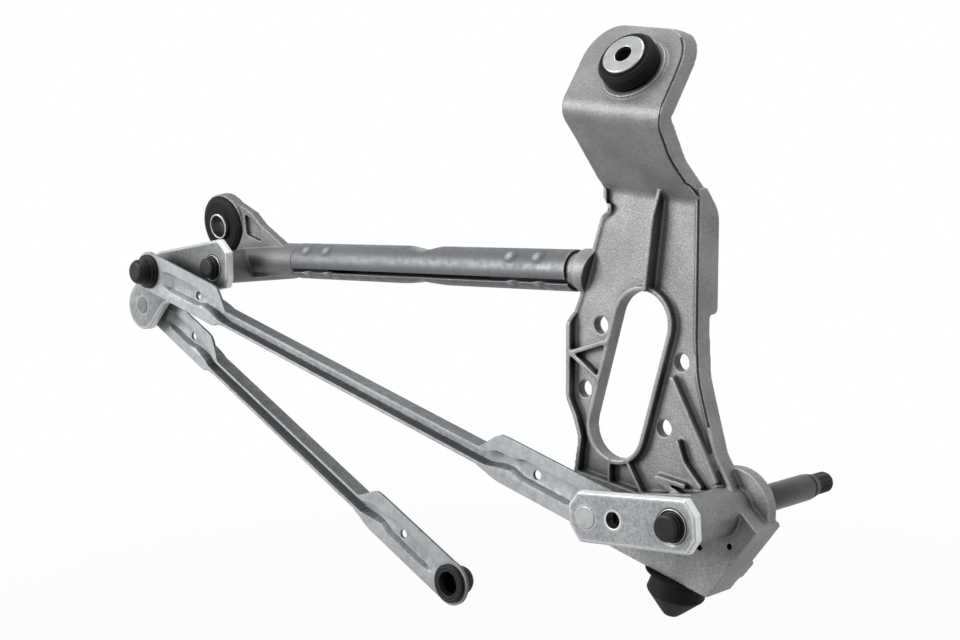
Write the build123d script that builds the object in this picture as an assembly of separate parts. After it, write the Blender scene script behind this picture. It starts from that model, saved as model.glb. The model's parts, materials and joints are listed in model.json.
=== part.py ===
"""Wiper linkage: two spindles in cast housings on a tube, their cranks, a long rod and a short rod.

Millimetres.  X runs along the linkage, Y along the spindles towards the wiper arms, Z is up.
Distances along Y are given as stations behind the driver crank's front face, and at() turns them into Y.
The origin is on the driver spindle, where its thread begins.
"""

import os
from math import atan2, cos, degrees, hypot, radians, sin, tan

from build123d import *

# Fits
LIGHT_FIT = 0.02
RUNNING_FIT = 0.05
OPEN_FIT = 0.3
END_PLAY = 0.3

# Spindles, the same part twice
CRANK_TO_THREAD = 112.0
SHAFT_R = 6.25
PIN_R = SHAFT_R - 0.4
PIN_PROUD = 5.0
PIN_BEVEL = 0.8
THREAD_R = 5.0
THREAD_LENGTH = 12.7
KNURL_LENGTH = 4.4
KNURL_BASE_R = SHAFT_R - 0.25
KNURL_TIP_R = THREAD_R + 0.3
SPINDLE_GROOVE = 1.0
THREAD_RELIEF = 0.6
SWAGE_R = SHAFT_R + 0.75

# Axes of the two spindles and of the balls, as (x, z), and how far the left group stands behind the right
RIGHT_AXIS = (0.0, 0.0)
LEFT_AXIS = (-345.0, 90.5)
LEFT_SHIFT = 24.0
CRANK_ARM = (-46.0, -3.5)
REAR_BALL_ARM = (-71.3, -26.1)
SHORT_ROD_LENGTH = 284.4
SHORT_ROD_ANGLE = -26.5

# Cranks
CRANK_T = 5.0
CRANK_EDGE = 0.6
SWAGE_RECESS_R = SWAGE_R + 1.0
SWAGE_RECESS_DEPTH = 0.7
SPARE_HOLE_R = 3.45
SPARE_HOLE_ARM = 31.0
LOBE_CENTRE = (REAR_BALL_ARM[0] - 0.6, REAR_BALL_ARM[1] + 1.1)

# Ball studs
BALL_R = 5.5
STUD_R = 4.5
STUD_NECK_R = 3.4
STUD_COLLAR_R = 6.0
STUD_COLLAR_T = 1.5
RIVET_HEAD_R = 5.35
RIVET_HEAD_T = 0.5

# Ball sockets, lengths from the mouth
SOCKET_COLLAR_R = 10.0
SOCKET_COLLAR_T = 2.0
SOCKET_GROOVE_R = 8.0
SOCKET_DOME_R = 7.2
SOCKET_LENGTH = 13.6
SOCKET_MOUTH_R = 6.4
SOCKET_THROAT_R = 5.3
SOCKET_CENTRE = 5.6

# Pressed rods
SHEET = 1.5
ROD_HALF_WIDTH = 11.4
ROD_END_R = 11.6
CHANNEL_TOP = 0.3
CHANNEL_BOTTOM = -8.5
CHANNEL_DEPTH = 9.0
POCKET_DEPTH = 3.6
POCKET_START = 14.0
PLATE_LENGTH = 66.0
STEEP_FOOT = (0.0, 0.3, 2.2, 2.5)
LONG_FOOT = (0.4, 1.0, 1.7, 2.3)
LONG_ROD_LEFT_PLATE = 64.5
SHORT_ROD_LEFT_PLATE = 57.0
FLARE_LENGTH = 12.0
ROD_HOLE_R = 2.35
ROD_HOLES_LONG = (45.8, 42.8)
ROD_HOLES_SHORT = (38.5, 42.3)
ROD_HOLE_ACROSS = -0.4
LONG_ROD_FRONT = 11.8
SHORT_ROD_FRONT = 33.6

# Bearings, washers, seals and clips on each spindle
BEARING_WALL = 1.75
BEARING_R = SHAFT_R + BEARING_WALL
BEARING_LENGTH = 15.0
BEARING_INSET = 1.0
BOSS_WALL = 2.5
BOSS_R = BEARING_R + BOSS_WALL
BOSS_LENGTH = 55.7
SEAL_SPACE = 3.0
SEAL_T = 1.6
SEAL_R = BEARING_R - 0.4
THRUST_WASHER_R = BOSS_R - 1.2
THRUST_WASHER_T = 1.0
RETAINING_WASHER_R = BEARING_R + 0.5
RETAINING_WASHER_T = 0.8
CIRCLIP_GROOVE_R = SHAFT_R - 0.5
CIRCLIP_R = SHAFT_R + 1.35
CIRCLIP_T = 0.9

# Tube between the housings
TUBE_R = 10.0
TUBE_WALL = 1.5
TUBE_SEAM = 2.8
TUBE_SEAM_ANGLE = 201.0
TUBE_LEFT = (-296.0, 52.0, 95.6)
TUBE_RIGHT = (-87.5, 44.0, 100.5)
TUBE_SHOULDER_R = TUBE_R + 0.5
DENT_R = 3.8
DENT_DEPTH = 1.1
LEFT_DENTS = (6.6, 21.3)
RIGHT_DENTS = (24.5, 42.4)
SPIGOT_PAST_DENT = 9.0

# Right casting: a shallow tray whose rim is low above the slot and tall beside and below it
FLOOR_FRONT = 39.5
FLOOR_T = 3.2
FLOOR_REAR = FLOOR_FRONT + FLOOR_T
TALL_RIM = 4.5
LOW_RIM = 0.8
RIM_FRONT = FLOOR_FRONT - TALL_RIM
RIM_WIDTH = 2.2
TALL_RIM_TOP = 81.0
RIM_RAMP = 6.0
NOTCH_RIM_BASE = 127.0
NOTCH_RIM = 2.5
TRAY_TOP = 140.0
SKIRT_REAR = 54.0
SKIRT_WALL = 4.0
FLANGE_FRONT = 45.5
FLANGE_REAR = 52.0
FLANGE_R = BOSS_R + 7.9
SLOT_TOP = (-43.6, 79.4)
SLOT_BOTTOM = (-58.0, 29.9)
SLOT_R = 14.6
MOTOR_HOLE_R = 4.0
MOTOR_PAD_R = 9.2
MOTOR_PAD_T = 2.0
MOTOR_HOLES = ((-69.7, 76.4), (-79.0, 45.7), (-24.1, 63.1), (-33.2, 32.5))
UPPER_WALL_REAR = 54.4
LOWER_WALL_REAR = 48.2
WALL_STEP_Z = 86.8
WALL_FOOT_Z = 14.0
WALL_LEFT = -30.0
RIB_WIDTH = 2.2
FINE_RIB_WIDTH = 1.4
BLIND_HOLE_R = 1.25
BLIND_HOLE_DEPTH = 3.0
BLIND_HOLES = ((5.5, -14.1), (-10.0, -17.3))

# Folded tab on top of the right casting, as (station, z) of its front face
FOLD_LOW = (FLOOR_FRONT, 136.5)
FOLD_HIGH = (7.6, 172.0)
TAB_TIP = (36.0, 212.3)
FOLD_LOW_R = 5.0
FOLD_HIGH_R = 9.0
TAB_SKIN = 3.0
TAB_DEPTH = 8.2
TAB_SLANT = -6.0
TAB_MIDDLE = -41.7
TAB_RIM = 2.6
TAB_ROOT = 4.0
TAB_SWEEP = 45.0
TAB_LEFT = -67.3
TAB_RIGHT = -15.2

# Upper bush, its centre as (x, z) on the front of the tab's upper panel
UPPER_BUSH = (-38.1, 191.0)
UPPER_BORE_R = 4.0
UPPER_SLEEVE_R = UPPER_BORE_R + 2.2
UPPER_HOLE_R = UPPER_SLEEVE_R + 3.8
UPPER_RUBBER_R = UPPER_HOLE_R + 3.5
UPPER_RUBBER_PROUD = 9.2
UPPER_FLANGE_R = 9.8
UPPER_FLANGE_T = 1.5
UPPER_PAD_R = UPPER_RUBBER_R + 2.0
UPPER_PAD_T = 1.2

# Left ear and its bush
EAR_CENTRE = (-362.5, 46.0, 114.1)
EAR_TILT = -9.0
EAR_R = 18.4
EAR_DEPTH = 7.0
EAR_RING_WALL = 2.6
EAR_RUBBER_R = EAR_R - EAR_RING_WALL
EAR_LIP_R = EAR_R - 0.9
EAR_BORE_R = 6.5
EAR_SLEEVE_R = EAR_BORE_R + 1.0
EAR_PROUD = 4.3
EAR_WEB_FRONT = 46.5
EAR_WEB_REAR = 52.0
EAR_POCKET_DEPTH = 2.5
LEFT_BOSS_R = BOSS_R - 1.0

# Locating plug under the skirt
PLUG_ROOT = (-28.0, 46.2, -33.9)
PLUG_SLOPE = 13.8
PLUG_STEM_R = 6.0
PLUG_STEM_DEPTH = 8.0
PLUG_FLANGE_R = 16.0
PLUG_FLANGE_T = 1.2
PLUG_BARREL_R = 12.0
PLUG_RIM_R = 13.5
PLUG_RIM_AT = 9.6
PLUG_TIP_R = 3.6
PLUG_LENGTH = 20.8


def at(station):
    """Y of a station behind the driver crank's front face."""
    return station - CRANK_TO_THREAD


def place(point):
    """Row position of a point given as (x, station, z)."""
    return (point[0], at(point[1]), point[2])


def add(axis, arm):
    """Sum of two (x, z) pairs."""
    return (axis[0] + arm[0], axis[1] + arm[1])


def drum(axis, radius, front, rear):
    """Cylinder along Y about an (x, z) axis."""
    return Pos(axis[0], at((front + rear) / 2), axis[1]) * Rot(90, 0, 0) * Cylinder(radius, rear - front)


def outline(points, round_r=0.0):
    """Closed sketch from (x, z) points, its corners rounded on request."""
    sketch = Polygon(*points, align=None)
    if round_r > 0:
        sketch = fillet(sketch.vertices(), round_r)
    return sketch


def shape(points):
    """Closed sketch from (x, z, corner radius) points."""
    line = FilletPolyline(*[(x, z) for x, z, _ in points], radius=[r for _, _, r in points], close=True)
    return make_face(line)


def slab(sketch, front, rear):
    """Sketch in (x, z) extruded along Y between two stations."""
    face = Plane(origin=(0, at(front), 0), x_dir=(1, 0, 0), z_dir=(0, -1, 0)) * sketch
    return extrude(face, amount=rear - front, dir=(0, 1, 0))


def side_prism(points, start_x, end_x, slant=0.0):
    """Side view of (station, z, corner radius) points swept along X, its rise per millimetre given."""
    middle = (start_x + end_x) / 2
    reach = (end_x - start_x) / 2
    plane = Plane(origin=(middle - reach, at(0), -slant * reach), x_dir=(0, 1, 0), z_dir=(1, 0, 0))
    return extrude(plane * shape(points), amount=2 * reach * hypot(1, slant), dir=(1, 0, slant))


def turned(axis, profile):
    """Solid of revolution about a Y axis from (station, radius) points."""
    points = [(axis[0] + radius, at(station), axis[1]) for station, radius in profile]
    face = make_face(Polyline(*points, close=True))
    return revolve(face, Axis((axis[0], 0, axis[1]), (0, 1, 0)))


def frustum(base, top, base_r, top_r):
    """Cone or cylinder between two (x, y, z) points."""
    along = Vector(*top) - Vector(*base)
    plane = Plane(origin=base, z_dir=along)
    low = plane * Circle(base_r)
    if abs(base_r - top_r) < 1e-6:
        return extrude(low, amount=along.length)
    high = plane * Pos(0, 0, along.length) * Circle(top_r)
    return loft([low, high])


def rib(start, end, width, front, rear):
    """Straight rib between two (x, z) points."""
    length = hypot(end[0] - start[0], end[1] - start[1])
    angle = degrees(atan2(end[1] - start[1], end[0] - start[0]))
    middle = ((start[0] + end[0]) / 2, (start[1] + end[1]) / 2)
    bar = Pos(*middle) * Rot(0, 0, angle) * SlotOverall(length + width, width)
    return slab(bar, front, rear)


def on_line(start, end, distance):
    """Point at a distance from start towards end, all (x, y, z)."""
    along = Vector(*end) - Vector(*start)
    point = Vector(*start) + along.normalized() * distance
    return (point.X, point.Y, point.Z)


# Spindle group
def spindle(axis, crank_front, boss_rear):
    seat_end = CRANK_TO_THREAD - THREAD_RELIEF
    seat_start = seat_end - KNURL_LENGTH
    groove = seat_start - SPINDLE_GROOVE
    clip = boss_rear + END_PLAY + RETAINING_WASHER_T + LIGHT_FIT - crank_front
    tip = CRANK_TO_THREAD + THREAD_LENGTH
    bevel = PIN_BEVEL
    profile = [
        (-PIN_PROUD, 0),
        (-PIN_PROUD, PIN_R - bevel),
        (-PIN_PROUD + bevel, PIN_R),
        (SWAGE_RECESS_DEPTH / 2, PIN_R),
        (SWAGE_RECESS_DEPTH / 2, SWAGE_R),
        (SWAGE_RECESS_DEPTH, SWAGE_R),
        (SWAGE_RECESS_DEPTH, SHAFT_R),
        (clip, SHAFT_R),
        (clip, CIRCLIP_GROOVE_R),
        (clip + CIRCLIP_T + 2 * LIGHT_FIT, CIRCLIP_GROOVE_R),
        (clip + CIRCLIP_T + 2 * LIGHT_FIT, SHAFT_R),
        (groove - bevel, SHAFT_R),
        (groove, SHAFT_R - bevel / 2),
        (groove, SHAFT_R - bevel),
        (seat_start, SHAFT_R - bevel),
        (seat_start, KNURL_BASE_R),
        (seat_end, KNURL_TIP_R),
        (seat_end, THREAD_R - bevel / 2),
        (CRANK_TO_THREAD, THREAD_R - bevel / 2),
        (CRANK_TO_THREAD, THREAD_R),
        (tip - 2 * bevel, THREAD_R),
        (tip - bevel / 2, THREAD_R - bevel),
        (tip, THREAD_R - 2 * bevel),
        (tip, 0),
    ]
    return turned(axis, [(station + crank_front, radius) for station, radius in profile])


def bush(axis, front):
    body = drum(axis, BEARING_R, front, front + BEARING_LENGTH)
    body -= drum(axis, SHAFT_R + RUNNING_FIT, front - 1, front + BEARING_LENGTH + 1)
    return chamfer(body.edges().filter_by(GeomType.CIRCLE), 0.4)


def washer(axis, radius, front, rear):
    ring = drum(axis, radius, front, rear)
    return ring - drum(axis, SHAFT_R + LIGHT_FIT, front - 1, rear + 1)


def seal(axis, boss_rear):
    middle = boss_rear - SEAL_SPACE / 2
    inner = SHAFT_R + LIGHT_FIT
    half = SEAL_T / 2
    profile = [
        (middle - half, inner),
        (middle - half, SEAL_R - half / 2),
        (middle - half / 2, SEAL_R),
        (middle + half / 2, SEAL_R),
        (middle + half, SEAL_R - half / 2),
        (middle + half, inner),
    ]
    return turned(axis, profile)


def circlip(axis, boss_rear):
    front = boss_rear + END_PLAY + RETAINING_WASHER_T + 2 * LIGHT_FIT
    rear = front + CIRCLIP_T
    ring = drum(axis, CIRCLIP_R, front, rear)
    ring -= drum(axis, CIRCLIP_GROOVE_R + LIGHT_FIT, front - 1, rear + 1)
    gap = Pos(axis[0], at((front + rear) / 2), axis[1] - CIRCLIP_R)
    return ring - gap * Box(CIRCLIP_R, 2 * CIRCLIP_T, CIRCLIP_R)


def boss_bore(axis, front, rear):
    return drum(axis, BEARING_R + LIGHT_FIT, front - 1, rear + 1)


# Cranks
def crank_plate(sketch, axis, front, rivets):
    plate = slab(sketch, front, front + CRANK_T)
    plate = chamfer(plate.edges().filter_by(Plane.XZ), CRANK_EDGE)
    plate -= drum(axis, SHAFT_R + LIGHT_FIT, front - 1, front + CRANK_T + 1)
    recess = [
        (front - LIGHT_FIT, 0),
        (front - LIGHT_FIT, SWAGE_RECESS_R),
        (front + SWAGE_RECESS_DEPTH + LIGHT_FIT, SWAGE_R + LIGHT_FIT),
        (front + SWAGE_RECESS_DEPTH + LIGHT_FIT, 0),
    ]
    plate -= turned(axis, recess)
    for rivet in rivets:
        plate -= drum(rivet, STUD_R + LIGHT_FIT, front - 1, front + CRANK_T + 1)
    return plate


def right_crank():
    reach = hypot(*CRANK_ARM)
    half = 11.4
    corner = 6.0
    profile = [
        (reach + 3.8, half),
        (reach + 9.6, half - corner),
        (reach + 9.6, corner - half + 1.5),
        (reach + 4.2, -half),
        (-7.5, -half),
        (-12.2, corner - half),
        (-12.2, half - corner),
        (-7.5, half + 0.6),
    ]
    angle = atan2(CRANK_ARM[1], CRANK_ARM[0])
    points = [
        (along * cos(angle) + across * sin(angle), along * sin(angle) - across * cos(angle))
        for along, across in profile
    ]
    plate = crank_plate(outline(points), RIGHT_AXIS, 0.0, [add(RIGHT_AXIS, CRANK_ARM)])
    share = SPARE_HOLE_ARM / reach
    spare = (RIGHT_AXIS[0] + CRANK_ARM[0] * share, RIGHT_AXIS[1] + CRANK_ARM[1] * share)
    plate -= drum(spare, SPARE_HOLE_R, -1, CRANK_T + 1)
    return plate


def left_crank():
    lobe_steps = 11
    lobe = []
    for step in range(lobe_steps + 1):
        share = step / lobe_steps
        angle = radians(-62 - 150 * share)
        radius = 16.5 - 2.8 * share
        lobe.append((LOBE_CENTRE[0] + radius * cos(angle), LOBE_CENTRE[1] + radius * sin(angle)))
    shape = [
        (6.0, 16.8),
        (14.2, 9.6),
        (14.2, -6.0),
        (12.0, -11.0),
        (1.3, -13.0),
        (-49.2, -24.4),
        *lobe,
        (CRANK_ARM[0] - 14.0, CRANK_ARM[1] + 7.5),
        (CRANK_ARM[0] - 7.2, CRANK_ARM[1] + 11.0),
        (-20.8, 12.6),
    ]
    rivets = [add(LEFT_AXIS, CRANK_ARM), add(LEFT_AXIS, REAR_BALL_ARM)]
    return crank_plate(outline([add(LEFT_AXIS, p) for p in shape]), LEFT_AXIS, LEFT_SHIFT, rivets)


# Ball studs and sockets
def ball_stud(axis, plate_face, ball_station, plate_far):
    """Stud whose ball stands off plate_face and whose rivet head is on plate_far."""
    side = 1 if ball_station > plate_face else -1
    profile = [
        (plate_far - side * RIVET_HEAD_T, 0),
        (plate_far - side * RIVET_HEAD_T, RIVET_HEAD_R - RIVET_HEAD_T),
        (plate_far - side * LIGHT_FIT, RIVET_HEAD_R),
        (plate_far - side * LIGHT_FIT, STUD_R),
        (plate_face + side * LIGHT_FIT, STUD_R),
        (plate_face + side * LIGHT_FIT, STUD_COLLAR_R),
        (plate_face + side * STUD_COLLAR_T, STUD_COLLAR_R),
        (plate_face + side * (STUD_COLLAR_T + 1), STUD_NECK_R),
        (ball_station, STUD_NECK_R),
        (ball_station, 0),
    ]
    ball = Pos(axis[0], at(ball_station), axis[1]) * Sphere(BALL_R)
    return turned(axis, profile) + ball


def socket(axis, mouth, side, clearance):
    """Ball socket: its mouth at a station and its dome towards side (+1 is the rear)."""
    collar = SOCKET_COLLAR_T
    groove_end = collar + SHEET + 2 * LIGHT_FIT
    edge = 0.4
    dome_bend = 2.4
    outer = [
        (0, SOCKET_MOUTH_R),
        (0, SOCKET_COLLAR_R - edge),
        (edge, SOCKET_COLLAR_R),
        (collar, SOCKET_COLLAR_R),
        (collar, SOCKET_GROOVE_R),
        (groove_end, SOCKET_GROOVE_R),
        (groove_end, SOCKET_COLLAR_R),
        (groove_end + collar - edge, SOCKET_COLLAR_R),
        (groove_end + collar, SOCKET_COLLAR_R - edge),
        (groove_end + collar, SOCKET_DOME_R + 0.6),
        (groove_end + collar + 0.8, SOCKET_DOME_R),
        (SOCKET_LENGTH - dome_bend, SOCKET_DOME_R),
        (SOCKET_LENGTH - dome_bend / 3, SOCKET_DOME_R - dome_bend / 2.4),
        (SOCKET_LENGTH, SOCKET_DOME_R - dome_bend),
        (SOCKET_LENGTH, 0),
        (SOCKET_CENTRE, 0),
        (SOCKET_CENTRE, SOCKET_THROAT_R + clearance - RUNNING_FIT),
        (SOCKET_CENTRE / 2, SOCKET_THROAT_R + clearance - RUNNING_FIT),
    ]
    body = turned(axis, [(mouth + side * depth, radius) for depth, radius in outer])
    return body - Pos(axis[0], at(mouth + side * SOCKET_CENTRE), axis[1]) * Sphere(BALL_R + clearance)


# Pressed rods
def rod_frame(start, angle, front):
    """Plane whose X runs along the rod, Y across it and upwards, and Z towards the viewer."""
    along = (cos(radians(angle)), 0, sin(radians(angle)))
    return Plane(origin=place((start[0], front, start[1])), x_dir=along, z_dir=(0, -1, 0))


def rod_section(place_x, top, bottom, pocket_top, floor_top, floor_bottom, pocket_bottom, depth):
    """Cross-section of the pressed sheet at one place along the rod."""
    lip = SHEET + (0.3 if top - pocket_top < 2 * SHEET else 0.0)
    points = [
        (top, 0),
        (pocket_top, 0),
        (floor_top, depth),
        (floor_bottom, depth),
        (pocket_bottom, 0),
        (bottom, 0),
        (bottom, SHEET),
        (pocket_bottom - SHEET, lip),
        (floor_bottom - SHEET, depth + SHEET),
        (floor_top + SHEET, depth + SHEET),
        (pocket_top + SHEET, lip),
        (top, SHEET),
    ]
    return Wire.make_polygon([(place_x, across, -deep) for across, deep in points], close=True)


def rod_half_sections(flare, foot):
    """Distance from the ball, then the section, from the pocket to the channel; foot is the lower edge's rise."""
    half = ROD_HALF_WIDTH
    inner_top = CHANNEL_TOP - SHEET
    inner_bottom = CHANNEL_BOTTOM + SHEET
    full = CHANNEL_DEPTH - SHEET
    step = FLARE_LENGTH / 4
    return [
        (POCKET_START, (half, -half, 4.4, 3.4, -2.8, -3.8, 0.05)),
        (POCKET_START + 8, (half, -half, 5.2, 4.0, -3.8, -5.2, POCKET_DEPTH)),
        (flare - 16, (half, -half, 5.0, 3.8, -3.8, -5.2, POCKET_DEPTH)),
        (flare - 10, (half, -half, 2.9, 1.8, -2.0, -3.6, POCKET_DEPTH)),
        (flare - 4, (half, -half, 3.0, 1.8, -2.8, -4.6, POCKET_DEPTH + 1.0)),
        (flare, (half - 0.4, -half + foot[0], 2.8, 1.6, -4.0, -5.4, POCKET_DEPTH + 2.0)),
        (flare + step, (half - 2.2, -half + foot[1], 1.8, 0.8, -5.2, -6.2, POCKET_DEPTH + 2.8)),
        (flare + 2 * step, (half - 5.2, -half + foot[2], 0.2, -0.2, -6.2, -6.8, POCKET_DEPTH + 3.6)),
        (flare + 3 * step, (half - 8.4, -half + foot[3], -0.9, -1.0, -6.8, -6.95, full - 0.3)),
        (flare + 4 * step, (CHANNEL_TOP, CHANNEL_BOTTOM, inner_top, inner_top, inner_bottom, inner_bottom, full)),
    ]


def pressed_rod(start, angle, length, front, plates, holes):
    """Rod with the lengths of its two end plates and the distances of its two holes from their ends."""
    near = rod_half_sections(plates[0], STEEP_FOOT)
    far = rod_half_sections(plates[1], LONG_FOOT)
    wires = [rod_section(distance, *values) for distance, values in near]
    wires += [rod_section(length - distance, *values) for distance, values in reversed(far)]
    body = Part() + Solid.make_loft(wires, ruled=True)
    for ball, side in ((0, 1), (length, -1)):
        disc = Circle(ROD_END_R)
        neck = Pos(side * POCKET_START / 2, 0) * Rectangle(POCKET_START, 2 * ROD_HALF_WIDTH)
        body += Pos(ball, 0, 0) * extrude(disc + neck, amount=-SHEET)
    for ball in (0, length):
        body -= Pos(ball, 0, 0) * Cylinder(SOCKET_GROOVE_R + LIGHT_FIT, 4 * SHEET)
    for hole in (holes[0], length - holes[1]):
        body -= Pos(hole, ROD_HOLE_ACROSS, 0) * Cylinder(ROD_HOLE_R, 4 * CHANNEL_DEPTH)
    return rod_frame(start, angle, front) * body


# Tube and spigots
def tube_line(distance):
    """Point on the tube's axis at a distance from its left end."""
    return on_line(place(TUBE_LEFT), place(TUBE_RIGHT), distance)


def tube_length():
    return (Vector(*TUBE_RIGHT) - Vector(*TUBE_LEFT)).length


def tube_plane(distance):
    """Plane across the tube, its Y pointing up."""
    along = Vector(*TUBE_RIGHT) - Vector(*TUBE_LEFT)
    return Plane(origin=tube_line(distance), x_dir=(0, 1, 0), z_dir=along)


def frame_tube():
    length = tube_length()
    ring = Circle(TUBE_R) - Circle(TUBE_R - TUBE_WALL)
    body = extrude(tube_plane(0) * ring, amount=length)
    seam = tube_plane(-1) * Rot(0, 0, TUBE_SEAM_ANGLE) * Pos(TUBE_R, 0) * Rectangle(4 * TUBE_WALL, TUBE_SEAM)
    body -= extrude(seam, amount=length + 2)
    for distance in (*LEFT_DENTS, *[length - back for back in RIGHT_DENTS]):
        for turn in (45, 135, 225, 315):
            centre = tube_plane(distance) * Rot(0, 0, turn) * Pos(TUBE_R - DENT_DEPTH + DENT_R, 0, 0)
            body -= centre * Sphere(DENT_R)
    return body


# Right casting
def skirt_outline():
    """Solid block below the tray, as (x, z, corner radius)."""
    return [
        (-81.7, 7.5, 1.0),
        (-84.0, -8.0, 3.0),
        (-80.0, -20.4, 3.0),
        (-53.8, -27.2, 6.0),
        (-6.0, -39.2, 1.0),
        (19.4, -5.8, 1.0),
        (10.0, 3.0, 2.0),
        (-1.0, 9.0, 4.0),
        (-14.0, 6.0, 6.0),
        (-44.0, 2.0, 1.0),
    ]


def tray_outline():
    """Outer outline of the tray, as (x, z, corner radius)."""
    return [
        (TAB_LEFT, TRAY_TOP, 0.0),
        (TAB_LEFT, 135.4, 2.5),
        (-63.8, 130.4, 2.0),
        (-70.0, 126.4, 2.5),
        (-81.3, 91.8, 4.0),
        (-85.9, 80.6, 2.0),
        (-87.0, 78.0, 2.0),
        (-87.0, 41.0, 6.0),
        (-82.6, 32.6, 6.0),
        (-79.4, 23.0, 8.0),
        (-81.7, 7.5, 3.0),
        (-80.0, -4.0, 0.0),
        (0.0, -4.0, 0.0),
        (8.0, 4.0, 0.0),
        (4.2, 10.0, 4.0),
        (-4.4, 23.8, 8.0),
        (-11.3, 47.5, 8.0),
        (-13.9, 57.0, 8.0),
        (TAB_RIGHT, 77.0, 8.0),
        (TAB_RIGHT, TRAY_TOP, 0.0),
    ]


def tab_outline():
    """Front outline of the tab, from below the lower fold to the tip, as (x, z, corner radius)."""
    return [
        (TAB_LEFT, 132.0, 0.0),
        (-69.2, 144.0, 8.0),
        (-69.6, 172.0, 10.0),
        (-69.0, 213.6, 14.0),
        (-15.6, 206.9, 17.0),
        (TAB_RIGHT, 172.0, 10.0),
        (-19.4, 152.0, 10.0),
        (TAB_RIGHT, 132.0, 0.0),
    ]


def tab_profile(front, rear):
    """Side profile of the folded tab between two depths behind its front face."""
    low_out = (FOLD_LOW[0] - FOLD_HIGH[0], FOLD_HIGH[1] - FOLD_LOW[1])
    high_out = (TAB_TIP[0] - FOLD_HIGH[0], TAB_TIP[1] - FOLD_HIGH[1])
    low_size = hypot(*low_out)
    high_size = hypot(*high_out)
    low_normal = (low_out[1] / low_size, low_out[0] / low_size)
    high_normal = (high_out[1] / high_size, -high_out[0] / high_size)
    fold_turn = 1 + low_normal[0] * high_normal[0] + low_normal[1] * high_normal[1]
    root_turn = 1 + low_normal[0]

    def line(depth):
        fold_r = max(FOLD_HIGH_R - depth, 0.5)
        return [
            (FOLD_LOW[0] + depth, FOLD_LOW[1] - TAB_ROOT, 0.0),
            (FOLD_LOW[0] + depth, FOLD_LOW[1] + depth * low_normal[1] / root_turn, FOLD_LOW_R + depth),
            (
                FOLD_HIGH[0] + depth * (low_normal[0] + high_normal[0]) / fold_turn,
                FOLD_HIGH[1] + depth * (low_normal[1] + high_normal[1]) / fold_turn,
                fold_r,
            ),
            (TAB_TIP[0] + depth * high_normal[0], TAB_TIP[1] + depth * high_normal[1], 0.0),
        ]

    return line(front) + line(rear)[::-1]


def tab_solid(front, rear):
    """The folded profile swept across the casting along the slanted folds."""
    reach = TAB_SWEEP
    slope = tan(radians(TAB_SLANT))
    return side_prism(tab_profile(front, rear), TAB_MIDDLE - reach, TAB_MIDDLE + reach, slope)


def upper_bush_plane():
    """Plane on the front of the tab's upper panel, its Z leaving towards the viewer."""
    slope = tan(radians(TAB_SLANT))
    back = TAB_TIP[0] - FOLD_HIGH[0]
    rise = TAB_TIP[1] - FOLD_HIGH[1]
    height = UPPER_BUSH[1] - FOLD_HIGH[1] - slope * (UPPER_BUSH[0] - TAB_MIDDLE)
    origin = place((UPPER_BUSH[0], FOLD_HIGH[0] + height * back / rise, UPPER_BUSH[1]))
    return Plane(origin=origin, x_dir=(1, 0, slope), z_dir=(-back * slope, -rise, back))


def folded_tab():
    outer = shape(tab_outline())
    inner = offset(outer, amount=-TAB_RIM, kind=Kind.INTERSECTION)
    block = tab_solid(0, TAB_DEPTH) & slab(outer, 0, 2 * FLOOR_FRONT)
    hollow = tab_solid(TAB_SKIN, 3 * TAB_DEPTH) & slab(inner, 0, 2 * FLOOR_FRONT)
    tab = block - hollow
    pad = upper_bush_plane() * Pos(0, 0, (UPPER_PAD_T - TAB_SKIN) / 2)
    tab += pad * Cylinder(UPPER_PAD_R, UPPER_PAD_T + TAB_SKIN)
    hole = upper_bush_plane() * Cylinder(UPPER_HOLE_R + LIGHT_FIT, 8 * TAB_SKIN)
    return tab - hole


def slot_sketch(radius):
    """Slanted slot with rounded ends of a given radius."""
    span = hypot(SLOT_TOP[0] - SLOT_BOTTOM[0], SLOT_TOP[1] - SLOT_BOTTOM[1])
    angle = degrees(atan2(SLOT_TOP[1] - SLOT_BOTTOM[1], SLOT_TOP[0] - SLOT_BOTTOM[0]))
    middle = ((SLOT_TOP[0] + SLOT_BOTTOM[0]) / 2, (SLOT_TOP[1] + SLOT_BOTTOM[1]) / 2)
    return Pos(*middle) * Rot(0, 0, angle) * SlotOverall(span + 2 * radius, 2 * radius)


def plug_plane():
    """Plane on the skirt's lower face, its Z pointing away from the casting."""
    slope = radians(PLUG_SLOPE)
    return Plane(origin=place(PLUG_ROOT), x_dir=(0, 1, 0), z_dir=(-sin(slope), 0, -cos(slope)))


def zone(low, high):
    """Rectangle sketch between two (x, z) corners."""
    middle = ((low[0] + high[0]) / 2, (low[1] + high[1]) / 2)
    return Pos(*middle) * Rectangle(high[0] - low[0], high[1] - low[1])


def casting_ribs():
    """Thin ribs standing on the tray's floor."""
    root = FLOOR_FRONT + 1
    tall = RIM_FRONT
    lines = [
        ((-84.6, 62.6), (-63.5, 69.5), RIB_WIDTH, tall),
        ((-84.6, 62.6), (-67.2, 51.0), RIB_WIDTH, tall),
        ((-26.5, 56.0), (-9.7, 25.8), RIB_WIDTH, tall),
        ((-9.7, 25.8), (-2.9, 12.6), RIB_WIDTH, tall),
        ((-61.1, 16.0), (-60.9, 1.0), FINE_RIB_WIDTH, tall),
        ((-51.1, 16.0), (-42.8, 2.6), FINE_RIB_WIDTH, tall),
        ((-34.5, 10.4), (-19.9, 8.4), RIB_WIDTH, tall + 1),
        ((-34.6, 9.1), (-20.9, 3.9), RIB_WIDTH, tall + 1),
        ((-34.9, 10.3), (-34.9, 9.2), RIB_WIDTH, tall + 1),
    ]
    ribs = [rib(start, end, width, front, root) for start, end, width, front in lines]
    curve = [(-23.4, 27.9), (-21.9, 23.5), (-19.8, 18.7), (-15.6, 14.1), (-10.7, 9.1)]
    ribs += [rib(start, end, RIB_WIDTH, tall + 0.3, root) for start, end in zip(curve, curve[1:])]
    return ribs


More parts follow.
